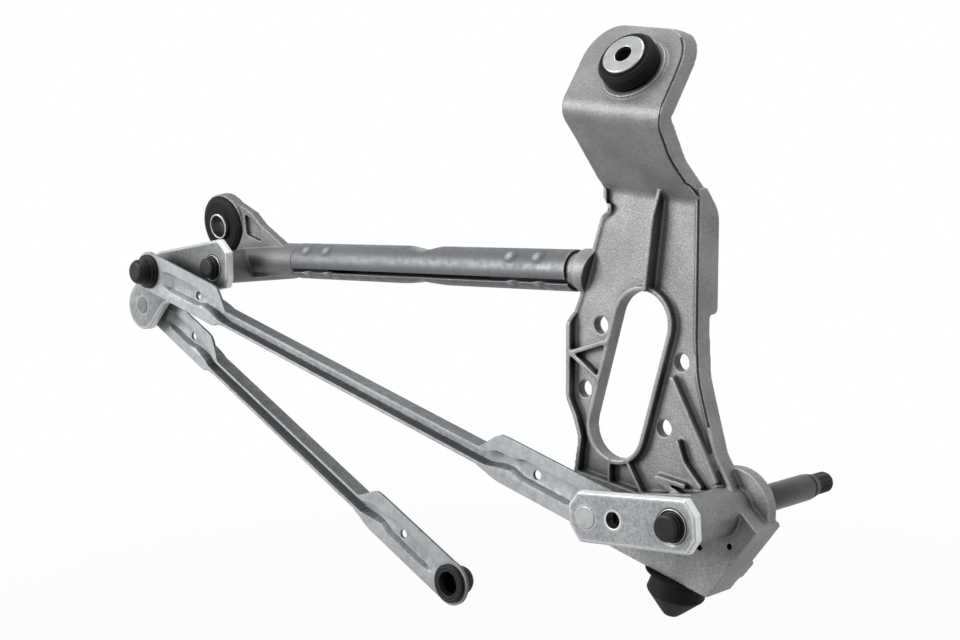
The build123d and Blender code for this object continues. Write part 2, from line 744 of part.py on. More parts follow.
def middle_rib():
    """Tapering rib that runs from the lower fold down to the slot."""
    tip = (-35.1, 139.0)
    foot = (-40.3, 95.0)
    height = 7.0
    bar = rib(tip, foot, RIB_WIDTH, FLOOR_FRONT - height, FLOOR_FRONT + 1)
    run = [
        (FLOOR_FRONT - height, foot[1] - 5, 0.0),
        (FLOOR_FRONT - height, tip[1] - 12, 12.0),
        (FOLD_LOW[0] - 3.0, tip[1] + 2, 0.0),
        (FLOOR_FRONT + 2, tip[1] + 2, 0.0),
        (FLOOR_FRONT + 2, foot[1] - 5, 0.0),
    ]
    return bar & side_prism(run, foot[0] - 10, tip[0] + 10)


def right_wall(band):
    """Wall along the casting's right edge, deep above its step and shallow below it."""
    front = FLOOR_FRONT - LOW_RIM
    fall = (FOLD_HIGH[1] - FOLD_LOW[1]) / (FOLD_LOW[0] - FOLD_HIGH[0])
    rear_line = [point for point in tab_profile(0, TAB_DEPTH) if point[0] > FLOOR_FRONT][0]
    corner_z = FOLD_LOW[1] + TAB_DEPTH / sin(atan2(1, fall)) - (UPPER_WALL_REAR - FOLD_LOW[0]) * fall
    run = [
        (front, WALL_FOOT_Z, 0.0),
        (front, FOLD_LOW[1], 0.0),
        (rear_line[0] - 2, corner_z + (UPPER_WALL_REAR - rear_line[0] + 2) * fall, 0.0),
        (UPPER_WALL_REAR, corner_z, 13.0),
        (UPPER_WALL_REAR, WALL_STEP_Z, 3.0),
        (LOWER_WALL_REAR, WALL_STEP_Z, 1.8),
        (LOWER_WALL_REAR, WALL_FOOT_Z, 0.0),
    ]
    slope = tan(radians(TAB_SLANT))
    wall = side_prism(run, TAB_MIDDLE - TAB_SWEEP, TAB_MIDDLE + TAB_SWEEP, slope)
    return wall & slab(band & zone((WALL_LEFT, -5.0), (15.0, 145.0)), 0, 2 * FLOOR_FRONT)


def tray_rims(band):
    """Low rim all round, and the tall rim beside the slot and in the notch below the tab."""
    left = (-100.0, -50.0)
    rims = slab(band, FLOOR_FRONT - LOW_RIM, FLOOR_FRONT + 1)
    tall = slab(band & zone((left[0], -5.0), (left[1], TALL_RIM_TOP)), RIM_FRONT, FLOOR_FRONT + 1)
    ramp = [
        (RIM_FRONT - 1, TALL_RIM_TOP + 1, 0.0),
        (FLOOR_FRONT - LOW_RIM, TALL_RIM_TOP + 1, 0.0),
        (RIM_FRONT - 1, TALL_RIM_TOP - RIM_RAMP, 0.0),
    ]
    tall -= side_prism(ramp, *left)
    notch_front = FLOOR_FRONT - NOTCH_RIM
    notch = slab(band & zone((left[0], NOTCH_RIM_BASE), (left[1], FOLD_LOW[1] + 3)), notch_front, FLOOR_FRONT + 1)
    notch_ramp = [
        (notch_front - 1, NOTCH_RIM_BASE - 1, 0.0),
        (FLOOR_FRONT - LOW_RIM, NOTCH_RIM_BASE - 1, 0.0),
        (notch_front - 1, NOTCH_RIM_BASE + RIM_RAMP, 0.0),
    ]
    notch -= side_prism(notch_ramp, *left)
    return rims + tall + notch


def drive_bracket():
    tray = shape(tray_outline())
    skirt = shape(skirt_outline())
    pad = Pos(*MOTOR_HOLES[2]) * Circle(MOTOR_PAD_R)
    under_tab = zone((TAB_LEFT + RIM_WIDTH, FOLD_LOW[1] - TAB_ROOT), (TAB_RIGHT - RIM_WIDTH, TRAY_TOP + 1))
    inner = offset(tray, amount=-RIM_WIDTH, kind=Kind.INTERSECTION) + (pad & tray) + under_tab
    band = tray - inner

    length = tube_length()
    spigot_end = length - RIGHT_DENTS[-1] - SPIGOT_PAST_DENT
    root_start = length + 5
    root_end = length + 24
    inside = TUBE_R - TUBE_WALL - RUNNING_FIT
    root = frustum(tube_line(root_start), tube_line(root_end), TUBE_SHOULDER_R, TUBE_SHOULDER_R)
    body = slab(tray, FLOOR_FRONT, FLOOR_REAR) + root
    body -= slab(inner - skirt, 0, FLOOR_FRONT)
    body += frustum(tube_line(spigot_end), tube_line(root_start + 4), inside, inside)
    body += tray_rims(band)
    body += right_wall(band)

    body += slab(skirt, RIM_FRONT, SKIRT_REAR)
    hollow = offset(skirt, amount=-SKIRT_WALL, kind=Kind.INTERSECTION)
    body -= slab(hollow, FLOOR_FRONT, SKIRT_REAR + 5)
    plug_seat = plug_plane() * Pos(0, 0, -PLUG_STEM_DEPTH / 2 - 1)
    body += plug_seat * Cylinder(PLUG_STEM_R + 2.5, PLUG_STEM_DEPTH + 2)
    bulge = [(4.4, -25.6, 1.5), (-2.4, -34.2, 1.5), (-8.0, -30.0, 2.0), (-2.0, -21.0, 2.0)]
    body += slab(shape(bulge), FLOOR_FRONT, SKIRT_REAR + 3.5)

    body += drum(RIGHT_AXIS, BOSS_R, boss_front(0.0), boss_back(0.0))
    body += drum(RIGHT_AXIS, FLANGE_R, FLANGE_FRONT, FLANGE_REAR)
    body += slab(slot_sketch(SLOT_R + RIM_WIDTH), RIM_FRONT + 0.3, FLOOR_REAR)
    for hole in MOTOR_HOLES:
        body += drum(hole, MOTOR_PAD_R - 2, FLOOR_REAR - 1, FLOOR_REAR + MOTOR_PAD_T) & slab(tray, 0, 60)
    body += casting_ribs()
    body += middle_rib()
    body += folded_tab()

    body -= slab(slot_sketch(SLOT_R), 0, UPPER_WALL_REAR + 5)
    for hole in MOTOR_HOLES:
        body -= drum(hole, MOTOR_HOLE_R, RIM_FRONT - 1, UPPER_WALL_REAR + 1)
    body -= boss_bore(RIGHT_AXIS, boss_front(0.0), boss_back(0.0))
    for blind in BLIND_HOLES:
        body -= drum(blind, BLIND_HOLE_R, RIM_FRONT - 1, RIM_FRONT + BLIND_HOLE_DEPTH)
    body -= plug_plane() * Pos(0, 0, -PLUG_STEM_DEPTH / 2) * Cylinder(PLUG_STEM_R + LIGHT_FIT, PLUG_STEM_DEPTH + 1)
    return body


def boss_front(shift):
    return shift + CRANK_T + THRUST_WASHER_T + END_PLAY


def boss_back(shift):
    return boss_front(shift) + BOSS_LENGTH


# Rubber and steel bushes
def upper_bush_rubber():
    tip = UPPER_RUBBER_PROUD
    groove_front = UPPER_PAD_T + LIGHT_FIT
    groove_rear = -TAB_SKIN - LIGHT_FIT
    profile = [
        (tip, UPPER_SLEEVE_R + LIGHT_FIT),
        (tip, UPPER_RUBBER_R - 1.6),
        (tip - 1.6, UPPER_RUBBER_R),
        (groove_front + 1.2, UPPER_RUBBER_R),
        (groove_front, UPPER_RUBBER_R - 1.2),
        (groove_front, UPPER_HOLE_R),
        (groove_rear, UPPER_HOLE_R),
        (groove_rear, UPPER_RUBBER_R - 0.5),
        (groove_rear - 5.0, UPPER_RUBBER_R - 1.5),
        (groove_rear - 5.0, UPPER_SLEEVE_R + LIGHT_FIT),
    ]
    return bush_turned(upper_bush_plane(), profile)


def upper_bush_sleeve():
    tip = UPPER_RUBBER_PROUD
    back = -TAB_SKIN - 6.0
    profile = [
        (tip + UPPER_FLANGE_T, UPPER_BORE_R),
        (tip + UPPER_FLANGE_T, UPPER_FLANGE_R - 0.4),
        (tip + UPPER_FLANGE_T - 0.4, UPPER_FLANGE_R),
        (tip + LIGHT_FIT, UPPER_FLANGE_R),
        (tip + LIGHT_FIT, UPPER_SLEEVE_R),
        (back, UPPER_SLEEVE_R),
        (back, UPPER_BORE_R),
    ]
    return bush_turned(upper_bush_plane(), profile)


def bush_turned(plane, profile):
    """Ring turned about a plane's Z from (height, radius) points."""
    face = make_face(Polyline(*[(radius, 0, height) for height, radius in profile], close=True))
    return plane * revolve(face, Axis.Z)


def ear_plane():
    """Plane on the ear's front face, its Z leaving towards the viewer."""
    tilt = radians(EAR_TILT)
    return Plane(origin=place(EAR_CENTRE), x_dir=(1, 0, 0), z_dir=(0, -cos(tilt), sin(tilt)))


def left_bush_rubber():
    profile = [
        (2.2, EAR_SLEEVE_R + LIGHT_FIT),
        (2.2, EAR_RUBBER_R - 1.6),
        (1.4, EAR_LIP_R - 1.0),
        (0.7, EAR_LIP_R),
        (LIGHT_FIT, EAR_LIP_R),
        (LIGHT_FIT, EAR_RUBBER_R),
        (-EAR_DEPTH + 0.6, EAR_RUBBER_R),
        (-EAR_DEPTH - 0.8, EAR_RUBBER_R - 2.0),
        (-EAR_DEPTH - 0.8, EAR_SLEEVE_R + LIGHT_FIT),
    ]
    return bush_turned(ear_plane(), profile)


def left_bush_sleeve():
    profile = [
        (EAR_PROUD, EAR_BORE_R),
        (EAR_PROUD, EAR_SLEEVE_R - 0.2),
        (EAR_PROUD - 0.2, EAR_SLEEVE_R),
        (-EAR_DEPTH - 3.0, EAR_SLEEVE_R),
        (-EAR_DEPTH - 3.0, EAR_BORE_R),
    ]
    return bush_turned(ear_plane(), profile)


def left_housing():
    front = boss_front(LEFT_SHIFT)
    rear = boss_back(LEFT_SHIFT)
    body = drum(LEFT_AXIS, LEFT_BOSS_R, front, rear)
    web = [
        (-366.0, 130.6),
        (-356.5, 129.6),
        (-348.2, 127.0),
        (-336.6, 122.2),
        (-328.6, 115.6),
        (-308.6, 104.6),
        (-300.0, 102.0),
        (-300.0, 88.0),
        (-335.0, 84.0),
        (-352.0, 86.0),
        (-374.0, 104.0),
    ]
    body += slab(outline(web), EAR_WEB_FRONT, EAR_WEB_REAR)
    pocket = [(-343.2, 121.8), (-328.6, 113.4), (-327.4, 105.4), (-341.2, 109.3)]
    body -= slab(outline(pocket, 1.5), EAR_WEB_FRONT - 1, EAR_WEB_FRONT + EAR_POCKET_DEPTH)
    ring = ear_plane() * Pos(0, 0, -EAR_DEPTH / 2)
    body += ring * Cylinder(EAR_R, EAR_DEPTH)
    shoulder = frustum(tube_line(-49), tube_line(-0.4), TUBE_R - 0.2, TUBE_R - 0.2)
    body += shoulder
    inside = TUBE_R - TUBE_WALL - RUNNING_FIT
    body += frustum(tube_line(-2), tube_line(LEFT_DENTS[-1] + SPIGOT_PAST_DENT), inside, inside)
    body -= boss_bore(LEFT_AXIS, front, rear)
    body -= ring * Cylinder(EAR_RUBBER_R + LIGHT_FIT, 3 * EAR_DEPTH)
    body -= ear_plane() * Pos(0, 0, EAR_DEPTH / 2) * Cylinder(EAR_LIP_R + LIGHT_FIT, EAR_DEPTH)
    return body


def locating_plug():
    depth = PLUG_STEM_DEPTH - 0.5
    profile = [
        (-depth, 0),
        (-depth, PLUG_STEM_R - 0.6),
        (-depth + 0.6, PLUG_STEM_R),
        (LIGHT_FIT, PLUG_STEM_R),
        (LIGHT_FIT, PLUG_FLANGE_R),
        (PLUG_FLANGE_T / 2, PLUG_FLANGE_R),
        (PLUG_FLANGE_T, PLUG_FLANGE_R - 1.0),
        (PLUG_FLANGE_T, PLUG_BARREL_R),
        (PLUG_RIM_AT - 1.0, PLUG_RIM_R - 0.3),
        (PLUG_RIM_AT, PLUG_RIM_R),
        (PLUG_RIM_AT + 0.8, PLUG_RIM_R - 0.4),
        (PLUG_LENGTH - 1.6, PLUG_TIP_R + 1.6),
        (PLUG_LENGTH, PLUG_TIP_R),
        (PLUG_LENGTH, 0),
    ]
    return bush_turned(plug_plane(), profile)


# All pieces by name
ball_a = add(LEFT_AXIS, CRANK_ARM)
ball_b = add(RIGHT_AXIS, CRANK_ARM)
ball_low = add(LEFT_AXIS, REAR_BALL_ARM)
rod_length = hypot(ball_b[0] - ball_a[0], ball_b[1] - ball_a[1])
rod_angle = degrees(atan2(ball_b[1] - ball_a[1], ball_b[0] - ball_a[0]))
short_reach = (SHORT_ROD_LENGTH * cos(radians(SHORT_ROD_ANGLE)), SHORT_ROD_LENGTH * sin(radians(SHORT_ROD_ANGLE)))
free_ball = add(ball_low, short_reach)
long_front_mouth = LONG_ROD_FRONT - SOCKET_COLLAR_T - LIGHT_FIT
long_rear_mouth = LONG_ROD_FRONT + SHEET + SOCKET_COLLAR_T + LIGHT_FIT
short_mouth = SHORT_ROD_FRONT - SOCKET_COLLAR_T - LIGHT_FIT

nodes = {
    "drive_bracket": drive_bracket(),
    "upper_bush_rubber": upper_bush_rubber(),
    "upper_bush_sleeve": upper_bush_sleeve(),
    "locating_plug": locating_plug(),
    "frame_tube": frame_tube(),
    "left_housing": left_housing(),
    "left_bush_rubber": left_bush_rubber(),
    "left_bush_sleeve": left_bush_sleeve(),
    "right_crank": right_crank(),
    "left_crank": left_crank(),
    "right_ball_stud": ball_stud(ball_b, CRANK_T, long_front_mouth + SOCKET_CENTRE, 0.0),
    "left_front_ball_stud": ball_stud(ball_a, LEFT_SHIFT, long_rear_mouth - SOCKET_CENTRE, LEFT_SHIFT + CRANK_T),
    "left_rear_ball_stud": ball_stud(ball_low, LEFT_SHIFT + CRANK_T, short_mouth + SOCKET_CENTRE, LEFT_SHIFT),
    "long_rod": pressed_rod(
        ball_a, rod_angle, rod_length, LONG_ROD_FRONT, (LONG_ROD_LEFT_PLATE, PLATE_LENGTH), ROD_HOLES_LONG
    ),
    "long_rod_left_socket": socket(ball_a, long_rear_mouth, -1, RUNNING_FIT),
    "long_rod_right_socket": socket(ball_b, long_front_mouth, 1, OPEN_FIT),
    "short_rod": pressed_rod(
        ball_low,
        SHORT_ROD_ANGLE,
        SHORT_ROD_LENGTH,
        SHORT_ROD_FRONT,
        (SHORT_ROD_LEFT_PLATE, PLATE_LENGTH),
        ROD_HOLES_SHORT,
    ),
    "short_rod_left_socket": socket(ball_low, short_mouth, 1, RUNNING_FIT),
    "short_rod_free_socket": socket(free_ball, short_mouth, 1, RUNNING_FIT),
}

for side, axis, shift in (("right", RIGHT_AXIS, 0.0), ("left", LEFT_AXIS, LEFT_SHIFT)):
    front = boss_front(shift)
    rear = boss_back(shift)
    washer_front = rear + END_PLAY
    nodes[side + "_spindle"] = spindle(axis, shift, rear)
    nodes[side + "_front_bearing"] = bush(axis, front + BEARING_INSET)
    nodes[side + "_rear_bearing"] = bush(axis, rear - SEAL_SPACE - BEARING_LENGTH)
    nodes[side + "_thrust_washer"] = washer(axis, THRUST_WASHER_R, shift + CRANK_T, shift + CRANK_T + THRUST_WASHER_T)
    nodes[side + "_seal_ring"] = seal(axis, rear)
    nodes[side + "_retaining_washer"] = washer(
        axis, RETAINING_WASHER_R, washer_front, washer_front + RETAINING_WASHER_T
    )
    nodes[side + "_circlip"] = circlip(axis, rear)

os.makedirs("parts", exist_ok=True)
for name, shape in nodes.items():
    export_step(shape, f"parts/{name}.step")
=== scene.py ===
"""Looks of the wiper linkage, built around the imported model.  Metres, in the row frame.

Cast, pressed and stamped nodes get copies with rounded edges.  The tube and the spindles are built
anew with dents, knurl and thread, and rings, lips and a parting line are added.  Other nodes keep
their own mesh.
"""

import json
import math

import bmesh
import bpy
from mathutils import Matrix, Vector
from mathutils.bvhtree import BVHTree


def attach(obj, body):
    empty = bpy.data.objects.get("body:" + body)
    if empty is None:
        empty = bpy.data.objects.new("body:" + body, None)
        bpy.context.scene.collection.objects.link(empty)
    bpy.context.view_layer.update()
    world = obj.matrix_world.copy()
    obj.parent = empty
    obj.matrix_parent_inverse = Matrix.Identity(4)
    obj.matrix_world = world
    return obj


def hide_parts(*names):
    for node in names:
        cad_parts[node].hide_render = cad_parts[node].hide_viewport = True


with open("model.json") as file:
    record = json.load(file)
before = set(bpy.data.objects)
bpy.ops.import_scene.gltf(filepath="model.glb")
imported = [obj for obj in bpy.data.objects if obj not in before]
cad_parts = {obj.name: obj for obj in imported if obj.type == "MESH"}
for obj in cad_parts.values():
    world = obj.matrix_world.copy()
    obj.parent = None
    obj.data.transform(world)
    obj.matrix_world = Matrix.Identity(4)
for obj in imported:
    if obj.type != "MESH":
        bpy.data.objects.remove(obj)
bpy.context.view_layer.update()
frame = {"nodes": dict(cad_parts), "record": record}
NODES = frame["nodes"]

MM = 0.001
X_AXIS, Y_AXIS = 0, 1
WHITE = (1.0, 1.0, 1.0)

# The tube; angles round it are 0 at the rear and 90 degrees at the top
TUBE_LEFT = Vector((-0.296, -0.060, 0.0956))
TUBE_RIGHT = Vector((-0.0875, -0.068, 0.1005))
TUBE_R = 10.0 * MM
TUBE_WALL = 1.5 * MM
TUBE_SEAM_ANGLE = math.radians(211)
TUBE_SEAM = 2.8 * MM


# Node trees
MIX_FACTOR, MIX_FIRST, MIX_SECOND = 0, 6, 7
MIX_RESULT = 2


def as_colour(tone):
    """Red, green and blue of a colour, or of a grey given as one number."""
    return tone if isinstance(tone, tuple) else (tone, tone, tone)


class Nodes:
    """The node tree of a material or a world, with short ways to add and join nodes."""

    def __init__(self, owner):
        owner.use_nodes = True
        self.tree = owner.node_tree
        self.tree.nodes.clear()

    def join(self, node, inputs):
        """Feed a node with numbers, vectors, colours as tuples, or outputs of other nodes."""
        for socket, value in inputs.items():
            if isinstance(value, bpy.types.NodeSocket):
                self.tree.links.new(value, node.inputs[socket])
            elif isinstance(value, tuple):
                node.inputs[socket].default_value = (*value, 1.0)
            else:
                node.inputs[socket].default_value = value
        return node

    def add(self, kind, inputs):
        return self.join(self.tree.nodes.new(kind), inputs)

    def maths(self, operation, *values):
        node = self.tree.nodes.new("ShaderNodeMath")
        node.operation = operation
        return self.join(node, dict(enumerate(values))).outputs[0]

    def vector_maths(self, operation, output, *values):
        node = self.tree.nodes.new("ShaderNodeVectorMath")
        node.operation = operation
        return self.join(node, dict(enumerate(values))).outputs[output]

    def remapped(self, value, span, target=(0.0, 1.0), curve="LINEAR"):
        """The value carried from one span to another and kept within it."""
        node = self.tree.nodes.new("ShaderNodeMapRange")
        node.interpolation_type = curve
        inputs = {"Value": value, "From Min": span[0], "From Max": span[1]}
        inputs |= {"To Min": target[0], "To Max": target[1]}
        return self.join(node, inputs).outputs["Result"]

    def ramp(self, value, stops):
        """Colour over a value; each stop is a place with a grey or a colour."""
        node = self.add("ShaderNodeValToRGB", {"Fac": value})
        elements = node.color_ramp.elements
        while len(elements) < len(stops):
            elements.new(0.5)
        for element, (place, tone) in zip(elements, stops):
            element.position = place
            element.color = (*as_colour(tone), 1.0)
        return node.outputs["Color"]

    def mixed(self, factor, first, second, mode="MIX"):
        node = self.tree.nodes.new("ShaderNodeMix")
        node.data_type = "RGBA"
        node.blend_type = mode
        inputs = {MIX_FACTOR: factor, MIX_FIRST: first, MIX_SECOND: second}
        return self.join(node, inputs).outputs[MIX_RESULT]


# Materials
BEVEL_SAMPLES = 6
OCCLUSION_SAMPLES = 8

# Openness, 0 in a corner and 1 in the open, where the painted shade is full and where it ends
CREVICE_OPENNESS = (0.25, 0.95)
POCKET_OPENNESS = (0.35, 0.92)

# How far a surface faces right
FACING_RIGHT = (0.35, 0.85)
# How far a sheet or a plate faces the front or the rear
SHEET_FACING = (0.15, 0.55)
PLATE_FACING = (0.8, 0.3)

# Agreement of the rounded direction with the flat one, from a face to an edge
WORN_EDGE = (0.985, 0.75)
WORN_BLACK_EDGE = (0.985, 0.8)
PLATE_BORDER = (0.998, 0.90)

# Slant of the tube, 0.5 where it is plain: painted shade where a dent faces left, painted highlight
# where it faces right
DENT_SHADE_AND_HIGHLIGHT = [(0.30, 0.4), (0.47, 1.0), (0.53, 1.0), (0.66, 2.8), (0.75, 2.8), (0.85, 0.4)]
# Curvature of a casting: painted shade in hollows and on the sharpest ridges, painted highlight on
# soft ridges
CASTING_SHADE_AND_HIGHLIGHT = [(0.42, 0.2), (0.485, 1.0), (0.515, 1.0), (0.54, 1.5), (0.585, 0.4)]
# Painted light and shade on the left crank along x, from its end to its spindle
LEFT_CRANK_SPAN = (-0.43, -0.33)
LEFT_CRANK_LIGHT_AND_SHADE = [(0.1, 1.15), (0.45, 0.6), (0.8, 0.65), (1.0, 1.0)]

STEEL_EDGE = (0.8, 0.81, 0.8)
ZINC_EDGE = (0.9, 0.92, 0.92)
BRONZE_EDGE = (0.5, 0.36, 0.2)
BLACK_EDGE = 0.35
# Tone and amount of the painted highlight on a crank's rim and sides
PLATE_RIM_HIGHLIGHT = (ZINC_EDGE, 0.9)
SHEET_SIDE_SHADE = 0.42

# The open hole in the right crank and the painted shade in and round it
SETTING_HOLE = Vector((-0.030911, -0.1095, -0.002352))
SETTING_HOLE_SHADE_R = 3.75 * MM
SETTING_HOLE_SHADE_GREY = 0.05

# Painted shade on the castings under the tube, seen through its seam
SEAM_SHADE = 0.004
SEAM_MARGIN = 0.3 * MM

MATERIALS = {}


class Finish(Nodes):
    """A material whose base colour is built up in steps."""

    def __init__(self, name):
        self.material = bpy.data.materials.new(name)
        super().__init__(self.material)
        self.space = self.tree.nodes.new("ShaderNodeTexCoord").outputs["Object"]
        self.base = None

    # What the surface is like at a point
    def noise(self, scale, detail, rough):
        inputs = {"Vector": self.space, "Scale": scale, "Detail": detail, "Roughness": rough}
        return self.add("ShaderNodeTexNoise", inputs).outputs["Fac"]

    def geometry(self, output):
        return self.tree.nodes.new("ShaderNodeNewGeometry").outputs[output]

    def part_along(self, vector, axis):
        return self.add("ShaderNodeSeparateXYZ", {0: vector}).outputs[axis]

    def rounded_direction(self, radius):
        node = self.tree.nodes.new("ShaderNodeBevel")
        node.samples = BEVEL_SAMPLES
        return self.join(node, {"Radius": radius}).outputs["Normal"]

    def edge_mask(self, radius, agreement):
        """0 on flat faces, 1 near convex and concave edges."""
        directions = (self.rounded_direction(radius), self.geometry("Normal"))
        return self.remapped(self.vector_maths("DOT_PRODUCT", "Value", *directions), agreement)

    def openness(self, distance):
        """1 in the open, less where something lies within the distance."""
        node = self.tree.nodes.new("ShaderNodeAmbientOcclusion")
        node.samples = OCCLUSION_SAMPLES
        return self.join(node, {"Distance": distance}).outputs["AO"]

    def offset_from(self, point):
        return self.vector_maths("SUBTRACT", "Vector", self.space, point)

    def distance_from_axis(self, offset, axis):
        """Distance from the line along the axis through the point that the offset starts at."""
        across = self.vector_maths("CROSS_PRODUCT", "Vector", offset, axis)
        return self.vector_maths("LENGTH", "Value", across)

    # Steps of the base colour
    def multiply(self, shade):
        self.base = self.mixed(1.0, self.base, shade, "MULTIPLY")

    def cover(self, mask, tone):
        self.base = self.mixed(mask, self.base, as_colour(tone))

    def shade_by_curvature(self, stops):
        """Painted shade and highlight over how hollow or how sharp the surface is, 0.5 where it is
        flat.
        """
        self.multiply(self.ramp(self.geometry("Pointiness"), stops))

    # Painted light and shade, in tones along x
    def shade_along_x(self, span, stops):
        place = self.remapped(self.part_along(self.space, X_AXIS), span)
        self.multiply(self.ramp(place, stops))

    def shade_by_slant(self, stops):
        """Painted shade and highlight over how far the surface faces along x, 0.5 where it doesn't.
        """
        slant = self.remapped(self.part_along(self.geometry("Normal"), X_AXIS), (-1.0, 1.0))
        self.multiply(self.ramp(slant, stops))

    def shade_crevices(self, distance, floor):
        """Painted shade: down to a grey floor in narrow corners."""
        self.multiply(self.remapped(self.openness(distance), CREVICE_OPENNESS, (floor, 1.0)))

    def shade_right_walls(self, distance, floor):
        """Painted shade: down to a grey floor on walls that face right across a pocket."""
        closed = self.remapped(self.openness(distance), POCKET_OPENNESS, (1.0, 0.0))
        right = self.remapped(self.part_along(self.geometry("Normal"), X_AXIS), FACING_RIGHT)
        wall = self.maths("MULTIPLY", closed, right)
        self.multiply(self.remapped(wall, (0.0, 1.0), (1.0, floor)))

    def facing_front_or_rear(self):
        return self.maths("ABSOLUTE", self.part_along(self.geometry("Normal"), Y_AXIS))

    def shade_sides(self, floor):
        """Painted shade: down to a grey floor on the sides of a sheet."""
        self.multiply(self.remapped(self.facing_front_or_rear(), SHEET_FACING, (floor, 1.0)))

    # Lighter edges: wear on the steels and black parts, and a painted highlight on a plate's rim
    def lighten_edges_wear_and_highlight(self, tone, amount, radius=0.7 * MM, agreement=WORN_EDGE):
        edge = self.edge_mask(radius, agreement)
        self.cover(self.maths("MULTIPLY", edge, amount), tone)

    def highlight_rim(self, tone, amount):
        """Painted highlight: a plate lighter towards its edges and on its sides."""
        self.lighten_edges_wear_and_highlight(tone, amount, 3.0 * MM, PLATE_BORDER)
        self.cover(self.remapped(self.facing_front_or_rear(), PLATE_FACING, (0.0, amount)), tone)

    def shade_hole(self, centre, radius):
        """Painted shade: dark grey within a radius of the line along y through the centre."""
        reach = self.distance_from_axis(self.offset_from(centre), Vector((0, 1, 0)))
        self.cover(self.maths("LESS_THAN", reach, radius), SETTING_HOLE_SHADE_GREY)

    def shade_inside_tube(self):
        """Painted shade: black on the parts of the castings that the tube covers."""
        run = TUBE_RIGHT - TUBE_LEFT
        offset = self.offset_from(TUBE_LEFT)
        reach = self.distance_from_axis(offset, run.normalized())
        along = self.vector_maths("DOT_PRODUCT", "Value", offset, run.normalized())
        near = self.maths("LESS_THAN", reach, TUBE_R)
        after = self.maths("GREATER_THAN", along, SEAM_MARGIN)
        before = self.maths("LESS_THAN", along, run.length - SEAM_MARGIN)
        inside = self.maths("MULTIPLY", near, self.maths("MULTIPLY", after, before))
        self.cover(inside, SEAM_SHADE)

    # The surface itself
    def grained(self, height, strength, depth, edge_radius=0.5 * MM):
        """The surface's direction with grain on it and its edges rounded."""
        inputs = {"Height": height, "Strength": strength, "Distance": depth}
        inputs["Normal"] = self.rounded_direction(edge_radius)
        return self.add("ShaderNodeBump", inputs).outputs["Normal"]

    def finished(self, metal, rough, shine, normal):
        """The material, with its shader joined up."""
        inputs = {
            "Base Color": self.base,
            "Metallic": metal,
            "Roughness": rough,
            "Specular IOR Level": shine,
            "Normal": normal,
        }
        shader = self.add("ShaderNodeBsdfPrincipled", inputs)
        self.add("ShaderNodeOutputMaterial", {"Surface": shader.outputs["BSDF"]})
        return self.material


def casting(name, level, pocket):
    """Sand-grey casting; level below 1 darkens its colour as painted shade, and pocket is the
    painted-shade grey of walls inside pockets.
    """
    finish = Finish(name)
    grain = finish.noise(scale=1500, detail=4.0, rough=0.65)
    blotch = finish.noise(scale=60, detail=3.0, rough=0.5)
    finish.base = finish.ramp(grain, [(0.30, (0.17, 0.175, 0.175)), (0.70, (0.36, 0.365, 0.36))])
    # Random blotches; a level below 1 darkens the whole casting as painted shade
    finish.multiply(finish.ramp(blotch, [(0.3, 0.74 * level), (0.7, 1.03 * level)]))
    # Painted shade in hollows, in corners, on walls inside pockets and under the tube's seam;
    # painted highlight on soft ridges
    finish.shade_by_curvature(CASTING_SHADE_AND_HIGHLIGHT)
    finish.shade_crevices(distance=4 * MM, floor=0.15)
    finish.shade_right_walls(distance=30 * MM, floor=pocket)
    finish.shade_inside_tube()
    normal = finish.grained(grain, strength=0.55, depth=0.3 * MM)
    MATERIALS[name] = finish.finished(metal=0.4, rough=0.45, shine=0.25, normal=normal)


def steel(
    name, dark, light, metal, rough, mottling=260, cloudy=0.84, edge=(STEEL_EDGE, 0.7),
    corners=(8 * MM, 0.2), shading=None,
):
    """Mottled and clouded steel.

    The edge has the tone and the amount of its wear, the corners have the distance and the floor
    of their painted shade, and shading paints light and shade into the base colour in between.
    """
    finish = Finish(name)
    mottle = finish.noise(scale=mottling, detail=5.0, rough=0.6)
    cloud = finish.noise(scale=35, detail=3.0, rough=0.5)
    finish.base = finish.ramp(mottle, [(0.36, dark), (0.62, light)])
    darker = (cloudy, cloudy + 0.01, cloudy + 0.02)
    finish.multiply(finish.ramp(cloud, [(0.35, darker), (0.65, 1.0)]))
    if edge:
        finish.lighten_edges_wear_and_highlight(*edge)
    # The shading step and the corners paint light and shade into the base colour
    if shading:
        shading(finish)
    finish.shade_crevices(*corners)
    polish = finish.ramp(mottle, [(0.3, rough * 1.25), (0.7, rough * 0.8)])
    normal = finish.grained(mottle, strength=0.12, depth=0.2 * MM)
    MATERIALS[name] = finish.finished(metal, polish, shine=0.5, normal=normal)


def black(name, dark, light, rough, shine, scale, grain_strength=0.15, metal=0.0, edge_amount=None):
    """Rubber, plastic or dark steel with a fine grain."""
    finish = Finish(name)
    grain = finish.noise(scale, detail=3.0, rough=0.6)
    finish.base = finish.ramp(grain, [(0.35, dark), (0.65, light)])
    if edge_amount:
        finish.lighten_edges_wear_and_highlight(BLACK_EDGE, edge_amount, 0.5 * MM, WORN_BLACK_EDGE)
    normal = finish.grained(grain, grain_strength, depth=0.2 * MM, edge_radius=0.4 * MM)
    MATERIALS[name] = finish.finished(metal, rough, shine, normal)


def right_crank_shading(finish):
    finish.highlight_rim(*PLATE_RIM_HIGHLIGHT)
    finish.shade_hole(SETTING_HOLE, SETTING_HOLE_SHADE_R)


def left_crank_shading(finish):
    finish.shade_along_x(LEFT_CRANK_SPAN, LEFT_CRANK_LIGHT_AND_SHADE)
    finish.highlight_rim(*PLATE_RIM_HIGHLIGHT)


def rod_shading(finish):
    finish.shade_sides(SHEET_SIDE_SHADE)


def tube_shading(finish):
    finish.shade_by_slant(DENT_SHADE_AND_HIGHLIGHT)


